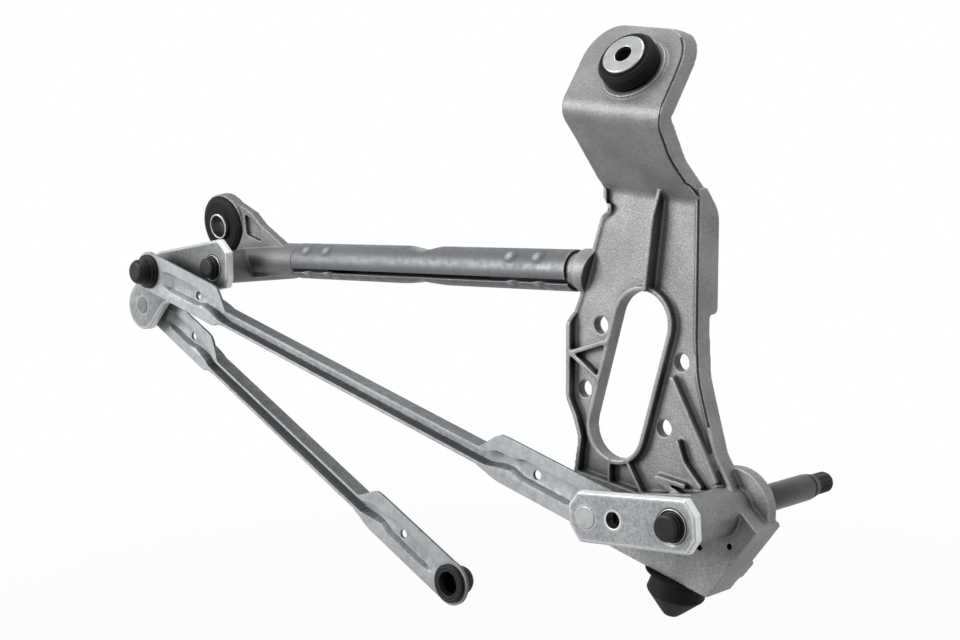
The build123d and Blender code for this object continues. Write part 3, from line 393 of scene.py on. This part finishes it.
def make_materials():
    casting("cast_aluminium", level=1.0, pocket=0.12)
    # The left housing: the same casting, darker as painted shade
    casting("shaded_casting", level=0.62, pocket=0.75)
    steel(
        "zinc_steel", (0.20, 0.21, 0.215), (0.36, 0.37, 0.375), metal=0.4, rough=0.4,
        mottling=600, edge=(ZINC_EDGE, 0.8), corners=(12 * MM, 0.05), shading=right_crank_shading,
    )
    # The left crank: the same zinc plate as zinc_steel, darker and cloudier as painted shade
    steel(
        "shaded_zinc", (0.15, 0.16, 0.165), (0.26, 0.27, 0.275), metal=0.4, rough=0.4,
        cloudy=0.7, edge=(ZINC_EDGE, 0.8), corners=(12 * MM, 0.05), shading=left_crank_shading,
    )
    steel(
        "galvanised_sheet", (0.29, 0.305, 0.31), (0.38, 0.395, 0.40), metal=0.3, rough=0.5,
        edge=None, corners=(5 * MM, 0.6), shading=rod_shading,
    )
    steel(
        "bright_tube", (0.118, 0.123, 0.128), (0.138, 0.143, 0.148), metal=0.6, rough=0.46,
        cloudy=0.9, edge=(STEEL_EDGE, 0.5), corners=(8 * MM, 0.75), shading=tube_shading,
    )
    steel(
        "bush_steel", (0.38, 0.39, 0.39), (0.52, 0.53, 0.52), metal=0.7, rough=0.3,
        corners=(15 * MM, 0.12),
    )
    steel("washer_steel", 0.3, 0.4, metal=0.8, rough=0.4)
    steel(
        "ball_steel", (0.32, 0.33, 0.33), (0.5, 0.51, 0.51), metal=0.7, rough=0.3,
        edge=(STEEL_EDGE, 0.5),
    )
    steel(
        "grey_rivet", (0.10, 0.105, 0.105), (0.2, 0.205, 0.205), metal=0.4, rough=0.45,
        edge=(STEEL_EDGE, 0.3),
    )
    steel(
        "sintered_bronze", (0.25, 0.17, 0.09), (0.38, 0.27, 0.15), metal=0.7, rough=0.5,
        edge=(BRONZE_EDGE, 0.7),
    )
    # Near black: painted shade on the parting line bead, and a painted highlight on the socket's
    # lips, lighter than their black plastic
    black("shade_and_highlight_grey", 0.02, 0.05, rough=0.6, shine=0.2, scale=500)
    black("black_rubber", 0.003, 0.008, rough=0.6, shine=0.12, scale=600)
    black("black_plastic", 0.004, 0.008, rough=0.4, shine=0.2, scale=400, grain_strength=0.06)
    black("seal_rubber", 0.008, 0.015, rough=0.5, shine=0.3, scale=500)
    black(
        "black_steel", (0.007, 0.007, 0.008), 0.014, rough=0.34, shine=0.25, scale=300,
        grain_strength=0.05, metal=0.15, edge_amount=0.4,
    )


def paint(node, material):
    if not node.material_slots:
        node.data.materials.append(None)
    for material_slot in node.material_slots:
        material_slot.material = MATERIALS[material]


make_materials()
for subpart in frame["record"]["subparts"]:
    paint(NODES[subpart["node"]], subpart["material_slot"])
paint(NODES["left_rear_ball_stud"], "grey_rivet")


# Mesh helpers
MERGE_DISTANCE = 0.001 * MM
RELAX_FACTOR = 0.5
ROUND_SEGMENTS = 2


def link(name, mesh, material):
    piece = bpy.data.objects.new(name, mesh)
    bpy.context.scene.collection.objects.link(piece)
    mesh.materials.clear()
    mesh.materials.append(MATERIALS[material])
    return piece


def declare(piece, body, slot, *replaced):
    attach(piece, body)
    if replaced:
        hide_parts(*replaced)


def apply_modifiers(piece, material):
    """Turn the piece with its modifiers into plain, smooth mesh."""
    graph = bpy.context.evaluated_depsgraph_get()
    mesh = bpy.data.meshes.new_from_object(piece.evaluated_get(graph))
    piece.modifiers.clear()
    mesh.materials.clear()
    mesh.materials.append(MATERIALS[material])
    mesh.shade_smooth()
    piece.data = mesh


def round_edges(piece, width, over_angle):
    edges = piece.modifiers.new("edges", "BEVEL")
    edges.width = width
    edges.segments = ROUND_SEGMENTS
    edges.limit_method = "ANGLE"
    edges.angle_limit = over_angle


def softened(node, name, material, voxel, rounds, keep):
    """A node's shape with its edges rounded; keep is the share of its faces left at the end."""
    piece = link(name, NODES[node].data.copy(), material)
    skin = piece.modifiers.new("skin", "REMESH")
    skin.mode = "VOXEL"
    skin.voxel_size = voxel
    relax = piece.modifiers.new("relax", "SMOOTH")
    relax.factor = RELAX_FACTOR
    relax.iterations = rounds
    thin = piece.modifiers.new("thin", "DECIMATE")
    thin.ratio = keep
    apply_modifiers(piece, material)
    return piece


def bump_shape(distance, half_width):
    """1 in the middle of a dent, 0 from half_width on, smooth in between."""
    share = min(abs(distance) / half_width, 1.0)
    return 0.5 + 0.5 * math.cos(math.pi * share)


def circle_point(index, count):
    """Cosine and sine of one of count places round a circle."""
    angle = 2 * math.pi * index / count
    return math.cos(angle), math.sin(angle)


def grid_faces(rows, columns, closed, flip=False):
    """Quads over a grid of points; a closed grid joins its last column to its first."""
    faces = []
    for row in range(rows - 1):
        for column in range(columns if closed else columns - 1):
            after = (column + 1) % columns
            quad = (
                row * columns + column,
                row * columns + after,
                (row + 1) * columns + after,
                (row + 1) * columns + column,
            )
            faces.append(quad[::-1] if flip else quad)
    return faces


def new_mesh(name, points, faces):
    """Smooth mesh with its doubled points joined and its faces turned outwards."""
    mesh = bpy.data.meshes.new(name)
    mesh.from_pydata([tuple(point) for point in points], [], faces)
    shell = bmesh.new()
    shell.from_mesh(mesh)
    bmesh.ops.remove_doubles(shell, verts=shell.verts, dist=MERGE_DISTANCE)
    bmesh.ops.recalc_face_normals(shell, faces=shell.faces)
    shell.to_mesh(mesh)
    shell.free()
    mesh.shade_smooth()
    return mesh


# Castings: rounded copies of the two cast nodes
def make_castings():
    castings = (
        ("drive_bracket", "cast_bracket", "cast_aluminium"),
        ("left_housing", "cast_left_housing", "shaded_casting"),
    )
    for node, name, material in castings:
        copy = softened(node, name, material, voxel=0.5 * MM, rounds=3, keep=0.35)
        declare(copy, "frame", "cast_aluminium", node)


# Rods: pressed sheet with narrow rounds on its edges
ROD_FLAT_WITHIN = math.radians(1.0)
ROD_ROUND = 0.35 * MM
ROD_ROUND_OVER = math.radians(30)
ROD_CREASE_OVER = math.radians(22)


def make_rods():
    for node in ("long_rod", "short_rod"):
        mesh = NODES[node].data.copy()
        shell = bmesh.new()
        shell.from_mesh(mesh)
        bmesh.ops.remove_doubles(shell, verts=shell.verts, dist=MERGE_DISTANCE)
        bmesh.ops.dissolve_limit(
            shell, angle_limit=ROD_FLAT_WITHIN, verts=shell.verts, edges=shell.edges
        )
        shell.to_mesh(mesh)
        shell.free()
        rod = link("pressed_" + node, mesh, "galvanised_sheet")
        round_edges(rod, ROD_ROUND, ROD_ROUND_OVER)
        apply_modifiers(rod, "galvanised_sheet")
        rod.data.set_sharp_from_angle(angle=ROD_CREASE_OVER)
        declare(rod, node, "galvanised_sheet", node)


# Cranks: stamped plate with rolled edges
def make_cranks():
    for side, material in (("right", "zinc_steel"), ("left", "shaded_zinc")):
        node = side + "_crank"
        crank = softened(node, "stamped_" + node, material, voxel=0.4 * MM, rounds=5, keep=0.3)
        declare(crank, side + "_shaft", "zinc_steel", node)


# Tube: rolled sheet with an open seam, dents over the spigots and a pinch in the middle
TUBE_ROWS = 260
TUBE_COLUMNS = 120
TUBE_LIP_ROUND = 0.35 * MM
TUBE_LIP_OVER = math.radians(50)

# Round dents, on four sides of the tube: distances from its left end and from its right end
LEFT_DENTS = (12.5 * MM, 30.0 * MM)
RIGHT_DENTS = (18.5 * MM, 36.5 * MM)
DENT_SIDES = [math.radians(angle) for angle in (45, 135, 225, 315)]
DENT_DEPTH = 1.15 * MM
DENT_HALF_WIDTH = 5.2 * MM

# The flattened stretch under each pair of dents, start and end measured in the same way
LEFT_FLAT = (3.0 * MM, 40.0 * MM)
RIGHT_FLAT = (46.0 * MM, 10.0 * MM)
FLAT_DEPTH = 0.25 * MM
FLAT_HALF_ANGLE = math.radians(38)

# The pinch in the middle, from above and from below: side, depth and half length
PINCHES = ((math.radians(90), 2.9 * MM, 14.0 * MM), (math.radians(270), 1.4 * MM, 19.0 * MM))
PINCH_SHARPNESS = 1.6
PINCH_HALF_ANGLE = math.radians(62)


def turn_between(first, second):
    """Smallest angle between two directions in radians."""
    return abs((first - second + math.pi) % (2 * math.pi) - math.pi)


def tube_dent(along, angle, length):
    """How far the tube's wall is pushed in at one place."""
    depth = 0.0
    for place in (*LEFT_DENTS, *[length - back for back in RIGHT_DENTS]):
        for side in DENT_SIDES:
            away = math.hypot(along - place, turn_between(angle, side) * TUBE_R)
            depth += DENT_DEPTH * bump_shape(away, DENT_HALF_WIDTH)
    for start, end in (LEFT_FLAT, [length - back for back in RIGHT_FLAT]):
        lengthwise = bump_shape(along - (start + end) / 2, (end - start) / 2) ** 0.5
        for side in DENT_SIDES:
            around = bump_shape(turn_between(angle, side), FLAT_HALF_ANGLE)
            depth += FLAT_DEPTH * lengthwise * around
    for side, bite, half_length in PINCHES:
        ridge = max(0.0, 1.0 - abs(along - length / 2) / half_length) ** PINCH_SHARPNESS
        depth += bite * ridge * bump_shape(turn_between(angle, side), PINCH_HALF_ANGLE)
    return depth


def tube_skin(inset):
    """Points at an inset from the tube's outside, from one lip of the seam round to the other."""
    axis = TUBE_RIGHT - TUBE_LEFT
    length = axis.length
    axis.normalize()
    rear = Vector((0, 1, 0))
    rear = (rear - axis * rear.dot(axis)).normalized()
    up = axis.cross(rear)
    half_gap = TUBE_SEAM / TUBE_R / 2
    points = []
    for row in range(TUBE_ROWS):
        along = length * row / (TUBE_ROWS - 1)
        for column in range(TUBE_COLUMNS):
            share = column / (TUBE_COLUMNS - 1)
            angle = TUBE_SEAM_ANGLE + half_gap + share * (2 * math.pi - 2 * half_gap)
            radius = TUBE_R - inset - tube_dent(along, angle, length)
            spoke = rear * radius * math.cos(angle) + up * radius * math.sin(angle)
            points.append(TUBE_LEFT + axis * along + spoke)
    return points


def tube_faces(inner):
    """Quads over both skins and between their edges; the inner skin's points start at inner."""
    faces = grid_faces(TUBE_ROWS, TUBE_COLUMNS, closed=False)
    for quad in grid_faces(TUBE_ROWS, TUBE_COLUMNS, closed=False, flip=True):
        faces.append(tuple(inner + index for index in quad))
    for row in range(TUBE_ROWS - 1):
        for column in (0, TUBE_COLUMNS - 1):
            low = row * TUBE_COLUMNS + column
            high = low + TUBE_COLUMNS
            faces.append((low, high, high + inner, low + inner))
    for row in (0, TUBE_ROWS - 1):
        for column in range(TUBE_COLUMNS - 1):
            low = row * TUBE_COLUMNS + column
            faces.append((low, low + 1, low + 1 + inner, low + inner))
    return faces


def make_tube():
    points = tube_skin(inset=0.0) + tube_skin(inset=TUBE_WALL)
    mesh = new_mesh("tube", points, tube_faces(inner=TUBE_ROWS * TUBE_COLUMNS))
    tube = link("rolled_tube", mesh, "bright_tube")
    round_edges(tube, TUBE_LIP_ROUND, TUBE_LIP_OVER)
    apply_modifiers(tube, "bright_tube")
    declare(tube, "frame", "bright_tube", "frame_tube")


# Spindles: front pin, shaft, knurled cone and rolled thread
SPINDLE_COLUMNS = 144
SPINDLE_CREASE_OVER = math.radians(32)
CRANK_TO_THREAD = 112.0 * MM

# Outlines as (distance, radius) in millimetres.  The distances start at the crank's face, and then
# at the cone's start, the thread's start and the tip
FRONT_END = (
    (-5.0, 0.0001), (-5.0, 4.8), (-5.0, 5.05), (-4.8, 5.45), (-4.2, 5.85),
    (-3.0, 5.85), (-2.6, 5.6), (-2.1, 5.6), (-1.7, 5.85),
    (0.35, 5.85), (0.35, 7.0), (0.7, 7.0), (0.7, 6.25),
    (63.12, 6.25), (63.12, 5.75), (64.06, 5.75), (64.06, 6.25),
)
BEFORE_CONE = ((-1.8, 6.25), (-1.0, 5.85), (-1.0, 5.45), (0.0, 5.45))
BEFORE_THREAD = ((-0.6, 4.4), (0.0, 4.4))
BEFORE_TIP = ((-0.4, 3.9), (0.0, 3.4), (0.0, 0.0001))

CONE_TO_THREAD = 5.0 * MM
CONE_LENGTH = 4.4 * MM
CONE_R = 6.0 * MM
CONE_TAPER = 0.7 * MM
CONE_ROWS = 14
CONE_FADE = 6
KNURL_TEETH = 48
KNURL_DEPTH = 0.28 * MM

THREAD_R = 5.0 * MM
THREAD_LENGTH = 12.7 * MM
THREAD_RUNOUT = 1.2 * MM
THREAD_PITCH = 1.5 * MM
THREAD_DEPTH = 0.75 * MM
THREAD_ROWS = 110
THREAD_FADE = 14

SWAGE_R = 7.2 * MM
SWAGE_WIRE_R = 0.35 * MM

# Side, x and z of the axis, and y of the crank's face
SPINDLES = (("right", 0.0, 0.0, -CRANK_TO_THREAD), ("left", -0.345, 0.0905, -0.088))


def tooth(turn):
    """Triangle wave from 0 to 1 and back over one turn."""
    share = turn % 1.0
    return 1.0 - abs(2.0 * share - 1.0)


def plain_rows(start, outline):
    return [(start + away * MM, radius * MM, 0, 0) for away, radius in outline]


def faded(rows, steepness):
    """Share of the way and strength, for rows of a pattern that fades in and out at its ends."""
    for row in range(rows + 1):
        share = row / rows
        yield share, min(1.0, steepness * share, steepness * (1 - share))


def spindle_rows():
    """(distance behind the crank's face, radius, knurl depth, thread depth) along the spindle."""
    cone_start = CRANK_TO_THREAD - CONE_TO_THREAD
    rows = plain_rows(0.0, FRONT_END) + plain_rows(cone_start, BEFORE_CONE)
    for share, strength in faded(CONE_ROWS, CONE_FADE):
        away = cone_start + share * CONE_LENGTH
        rows.append((away, CONE_R - CONE_TAPER * share, KNURL_DEPTH * strength, 0))
    rows += plain_rows(CRANK_TO_THREAD, BEFORE_THREAD)
    for share, strength in faded(THREAD_ROWS, THREAD_FADE):
        away = CRANK_TO_THREAD + share * (THREAD_LENGTH - THREAD_RUNOUT)
        radius = THREAD_R - THREAD_DEPTH * (1 - strength)
        rows.append((away, radius, 0, THREAD_DEPTH * strength))
    return rows + plain_rows(CRANK_TO_THREAD + THREAD_LENGTH, BEFORE_TIP)


def make_spindle(name, x, z, crank_y):
    rows = spindle_rows()
    points = []
    for away, radius, knurl, thread in rows:
        for column in range(SPINDLE_COLUMNS):
            share = column / SPINDLE_COLUMNS
            cut = knurl * tooth(share * KNURL_TEETH) + thread * tooth(away / THREAD_PITCH - share)
            across, up = circle_point(column, SPINDLE_COLUMNS)
            points.append((x + (radius - cut) * across, crank_y + away, z + (radius - cut) * up))
    mesh = new_mesh(name, points, grid_faces(len(rows), SPINDLE_COLUMNS, closed=True))
    mesh.set_sharp_from_angle(angle=SPINDLE_CREASE_OVER)
    return link(name, mesh, "black_steel")


RING_COLUMNS = 72
RING_ROWS = 10
RING_SINK = 0.3


def make_ring(name, place, radius, wire, material):
    """Thin round bead on a face that looks along -Y, sunk in by a share of its wire."""
    x, y, z = place
    points = []
    for row in range(RING_ROWS):
        outwards, rearwards = circle_point(row, RING_ROWS)
        reach = radius + wire * outwards
        for column in range(RING_COLUMNS):
            across, up = circle_point(column, RING_COLUMNS)
            points.append((x + reach * across, y + wire * (RING_SINK + rearwards), z + reach * up))
    faces = grid_faces(RING_ROWS, RING_COLUMNS, closed=True)
    last = (RING_ROWS - 1) * RING_COLUMNS
    for column in range(RING_COLUMNS):
        after = (column + 1) % RING_COLUMNS
        faces.append((last + column, last + after, after, column))
    return link(name, new_mesh(name, points, faces), material)


def make_spindles():
    for side, x, z, crank_y in SPINDLES:
        spindle = make_spindle(side + "_threaded_spindle", x, z, crank_y)
        declare(spindle, side + "_shaft", "black_steel", side + "_spindle")
        swage = make_ring(side + "_swage", (x, crank_y, z), SWAGE_R, SWAGE_WIRE_R, "ball_steel")
        declare(swage, side + "_shaft", "zinc_steel")


# Free socket: two raised lips around the mouth, lighter than its black plastic as a painted
# highlight
FREE_MOUTH = (-0.161781, -0.08042, -0.062499)
LIP_WIRE_R = 0.3 * MM


def make_socket_lips():
    for name, radius in (("outer", 8.6 * MM), ("inner", 6.7 * MM)):
        lip = make_ring("socket_lip_" + name, FREE_MOUTH, radius, LIP_WIRE_R, "shade_and_highlight_grey")
        declare(lip, "short_rod", "black_plastic")


# Parting line: thin bead down the right front edge of the bracket, near black as painted shade along
# the edge
PARTING_LOW = 0.036
PARTING_HIGH = 0.204
PARTING_STEPS = 90
PARTING_COLUMNS = 8
PARTING_R = 0.6 * MM
PARTING_INSET = 0.7 * MM
PARTING_SINK = 0.33 * MM
PARTING_REAR = -0.072
SCAN_FROM = Vector((0.03, -0.2, 0.0))
SCAN_STEP = 0.2 * MM
SCAN_STEPS = 400


def right_front_edge(solid, height):
    """A point just inside the front right edge at one height, looked for from the right."""
    for step in range(SCAN_STEPS):
        start = SCAN_FROM + Vector((-step * SCAN_STEP, 0, height))
        hit = solid.ray_cast(start, Vector((0, 1, 0)))[0]
        if hit is not None and hit.y < PARTING_REAR:
            return hit + Vector((-PARTING_INSET, PARTING_SINK, 0))
    return None


def parting_centres():
    bracket = NODES["drive_bracket"].data
    solid = BVHTree.FromPolygons(
        [tuple(vertex.co) for vertex in bracket.vertices],
        [tuple(face.vertices) for face in bracket.polygons],
    )
    line = []
    for step in range(PARTING_STEPS + 1):
        height = PARTING_LOW + (PARTING_HIGH - PARTING_LOW) * step / PARTING_STEPS
        edge = right_front_edge(solid, height)
        if edge is not None:
            line.append(edge)
    middle = [(before + at + after) / 3 for before, at, after in zip(line, line[1:], line[2:])]
    return [line[0], *middle, line[-1]]


def make_parting_line():
    centres = parting_centres()
    points = []
    for index, centre in enumerate(centres):
        ahead = centres[min(index + 1, len(centres) - 1)] - centres[max(index - 1, 0)]
        ahead.normalize()
        side = ahead.cross(Vector((0, 1, 0))).normalized()
        front = side.cross(ahead)
        for column in range(PARTING_COLUMNS):
            across, out = circle_point(column, PARTING_COLUMNS)
            points.append(centre + PARTING_R * (across * side + out * front))
    faces = grid_faces(len(centres), PARTING_COLUMNS, closed=True)
    faces.append(tuple(range(PARTING_COLUMNS)))
    faces.append(tuple(range(len(points) - PARTING_COLUMNS, len(points))))
    bead = link("parting_line", new_mesh("parting_line", points, faces), "shade_and_highlight_grey")
    declare(bead, "frame", "cast_aluminium")


make_castings()
make_rods()
make_cranks()
make_tube()
make_spindles()
make_socket_lips()
make_parting_line()


# Floor, backdrop, lamps and camera
FLOOR_GREY = 0.30
FLOOR_Z = -0.125
FLOOR_HALF = 12.0
FLOOR_CENTRE = Vector((-0.15, 0.0, FLOOR_Z))

# Share of the floor's white near the centre and away from it, and where it changes
FLOOR_GLOW = (0.96, 1.0)
FLOOR_GLOW_REACH = (0.15, 0.75)

WORLD_COLOUR = (0.9, 0.93, 0.95)
WORLD_STRENGTH = 0.08

# Name, place, width and height, power
LAMPS = (
    ("key", (-1.66, -2.2, 0.84), (1.4, 1.4), 78),
    ("top", (-0.1, -0.1, 1.6), (1.0, 0.8), 16),
    ("rear_right", (1.3, 0.6, 0.25), (0.8, 1.0), 4),
    ("right", (1.4, -0.5, 1.2), (0.7, 0.7), 4),
)
LAMP_TARGET = Vector((-0.16, -0.07, 0.07))

# The photograph's angle, with the camera's own right, up and back
CAMERA_PLACE = (0.3621, -0.6127, 0.1504)
CAMERA_RIGHT = (0.7281, 0.6855, 0.0)
CAMERA_UP = (-0.0709, 0.0753, 0.9946)
CAMERA_BACK = (0.6818, -0.7241, 0.1034)
CAMERA_LENS = 56.25
CAMERA_SENSOR_WIDTH = 36.0
CAMERA_CLIP_START = 0.01


def seen_rays(nodes):
    """1 for rays of the camera, of mirrors and of glass."""
    rays = nodes.tree.nodes.new("ShaderNodeLightPath").outputs
    direct = nodes.maths("MAXIMUM", rays["Is Camera Ray"], rays["Is Glossy Ray"])
    return nodes.maths("MAXIMUM", direct, rays["Is Transmission Ray"])


def pale_floor():
    """Shows white to the camera, mirrors and glass, and keeps a soft shadow near the object."""
    material = bpy.data.materials.new("pale_floor")
    nodes = Nodes(material)
    matte = nodes.add("ShaderNodeBsdfDiffuse", {"Color": as_colour(FLOOR_GREY)})
    glow = nodes.add("ShaderNodeEmission", {"Color": WHITE, "Strength": 1.0})
    place = nodes.tree.nodes.new("ShaderNodeTexCoord").outputs["Object"]
    away = nodes.vector_maths("DISTANCE", "Value", place, FLOOR_CENTRE)
    glow_share = nodes.remapped(away, FLOOR_GLOW_REACH, FLOOR_GLOW, "SMOOTHSTEP")
    share = nodes.maths("MULTIPLY", seen_rays(nodes), glow_share)
    mix = nodes.add("ShaderNodeMixShader", {0: share, 1: matte.outputs[0], 2: glow.outputs[0]})
    nodes.add("ShaderNodeOutputMaterial", {"Surface": mix.outputs[0]})
    return material


def make_floor():
    mesh = bpy.data.meshes.new("floor")
    signs = ((-1, -1), (1, -1), (1, 1), (-1, 1))
    corners = [(x * FLOOR_HALF, y * FLOOR_HALF, FLOOR_Z) for x, y in signs]
    mesh.from_pydata(corners, [], [(0, 1, 2, 3)])
    mesh.materials.append(pale_floor())
    floor = bpy.data.objects.new("floor", mesh)
    bpy.context.scene.collection.objects.link(floor)


def make_world():
    """Dim light from all round, seen as white."""
    world = bpy.data.worlds.new("studio")
    nodes = Nodes(world)
    dim = nodes.add("ShaderNodeBackground", {"Color": WORLD_COLOUR, "Strength": WORLD_STRENGTH})
    white = nodes.add("ShaderNodeBackground", {"Color": WHITE, "Strength": 1.0})
    seen = seen_rays(nodes)
    mix = nodes.add("ShaderNodeMixShader", {0: seen, 1: dim.outputs[0], 2: white.outputs[0]})
    nodes.add("ShaderNodeOutputWorld", {"Surface": mix.outputs[0]})
    bpy.context.scene.world = world


def make_lamps():
    for name, place, (width, height), power in LAMPS:
        light = bpy.data.lights.new(name, "AREA")
        light.shape = "RECTANGLE"
        light.size = width
        light.size_y = height
        light.energy = power
        lamp = bpy.data.objects.new(name, light)
        bpy.context.scene.collection.objects.link(lamp)
        lamp.location = place
        aim = LAMP_TARGET - Vector(place)
        lamp.rotation_euler = aim.to_track_quat("-Z", "Y").to_euler()


def make_camera():
    data = bpy.data.cameras.new("camera")
    data.sensor_width = CAMERA_SENSOR_WIDTH
    data.lens = CAMERA_LENS
    data.clip_start = CAMERA_CLIP_START
    camera = bpy.data.objects.new("camera", data)
    turn = Matrix((CAMERA_RIGHT, CAMERA_UP, CAMERA_BACK)).transposed().to_4x4()
    camera.matrix_world = Matrix.Translation(CAMERA_PLACE) @ turn
    bpy.context.scene.collection.objects.link(camera)
    bpy.context.scene.camera = camera


make_floor()
make_world()
make_lamps()
make_camera()
bpy.context.scene.view_settings.view_transform = "Standard"
